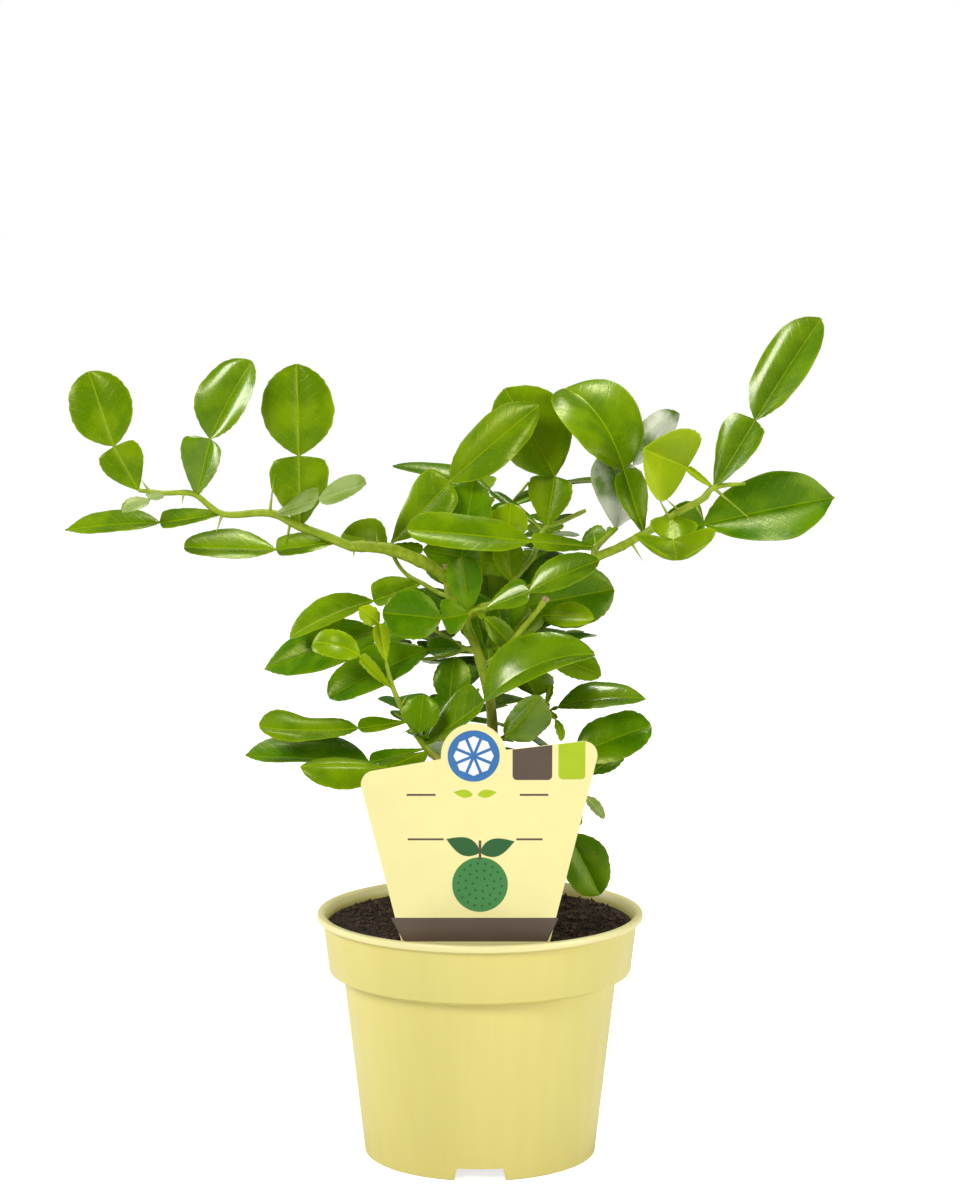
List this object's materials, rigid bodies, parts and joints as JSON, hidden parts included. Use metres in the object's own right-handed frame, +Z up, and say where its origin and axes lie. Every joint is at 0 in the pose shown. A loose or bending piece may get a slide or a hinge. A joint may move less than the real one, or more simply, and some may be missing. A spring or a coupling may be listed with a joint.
{
  "type": "potted citrus tree",
  "caption": "Young citrus tree in a round yellow nursery pot, with winged double leaves on two spreading boughs and a blank slanted plant tag standing in the soil.",
  "frame": {"origin": "middle of the whole plant's footprint, on the surface that the pot stands on", "axes": "+Z up; the front of the plant, with the tag, looks along -Y; +X is to the right of that view"},
  "size_m": [0.327, 0.1754, 0.3592],
  "materials": {
    "yellow_plastic": "satin",
    "peat": "rough",
    "tag_card": "satin",
    "green_bark": "satin",
    "leaf_green": "glossy"
  },
  "bodies": {
    "root": {"pot": "yellow_plastic", "soil": "peat", "tag": "tag_card", "trunk": "green_bark", "bough_left": "green_bark", "bough_right": "green_bark", "stem_pruned": "green_bark", "bough_back": "green_bark", "bough_low_left": "green_bark", "bough_low_back": "green_bark", "foliage_left_arm": "leaf_green", "foliage_right_arm": "leaf_green", "foliage_right_crown": "leaf_green", "foliage_centre": "leaf_green", "foliage_crown_left": "leaf_green", "foliage_front": "leaf_green", "foliage_left_mid": "leaf_green", "foliage_low_left": "leaf_green", "foliage_right_mid": "leaf_green", "foliage_low_right": "leaf_green", "foliage_low_right_foot": "leaf_green", "foliage_back_top": "leaf_green", "foliage_back_mid": "leaf_green", "foliage_back_low": "leaf_green", "foliage_back_foot": "leaf_green"}
  },
  "joints": []
}
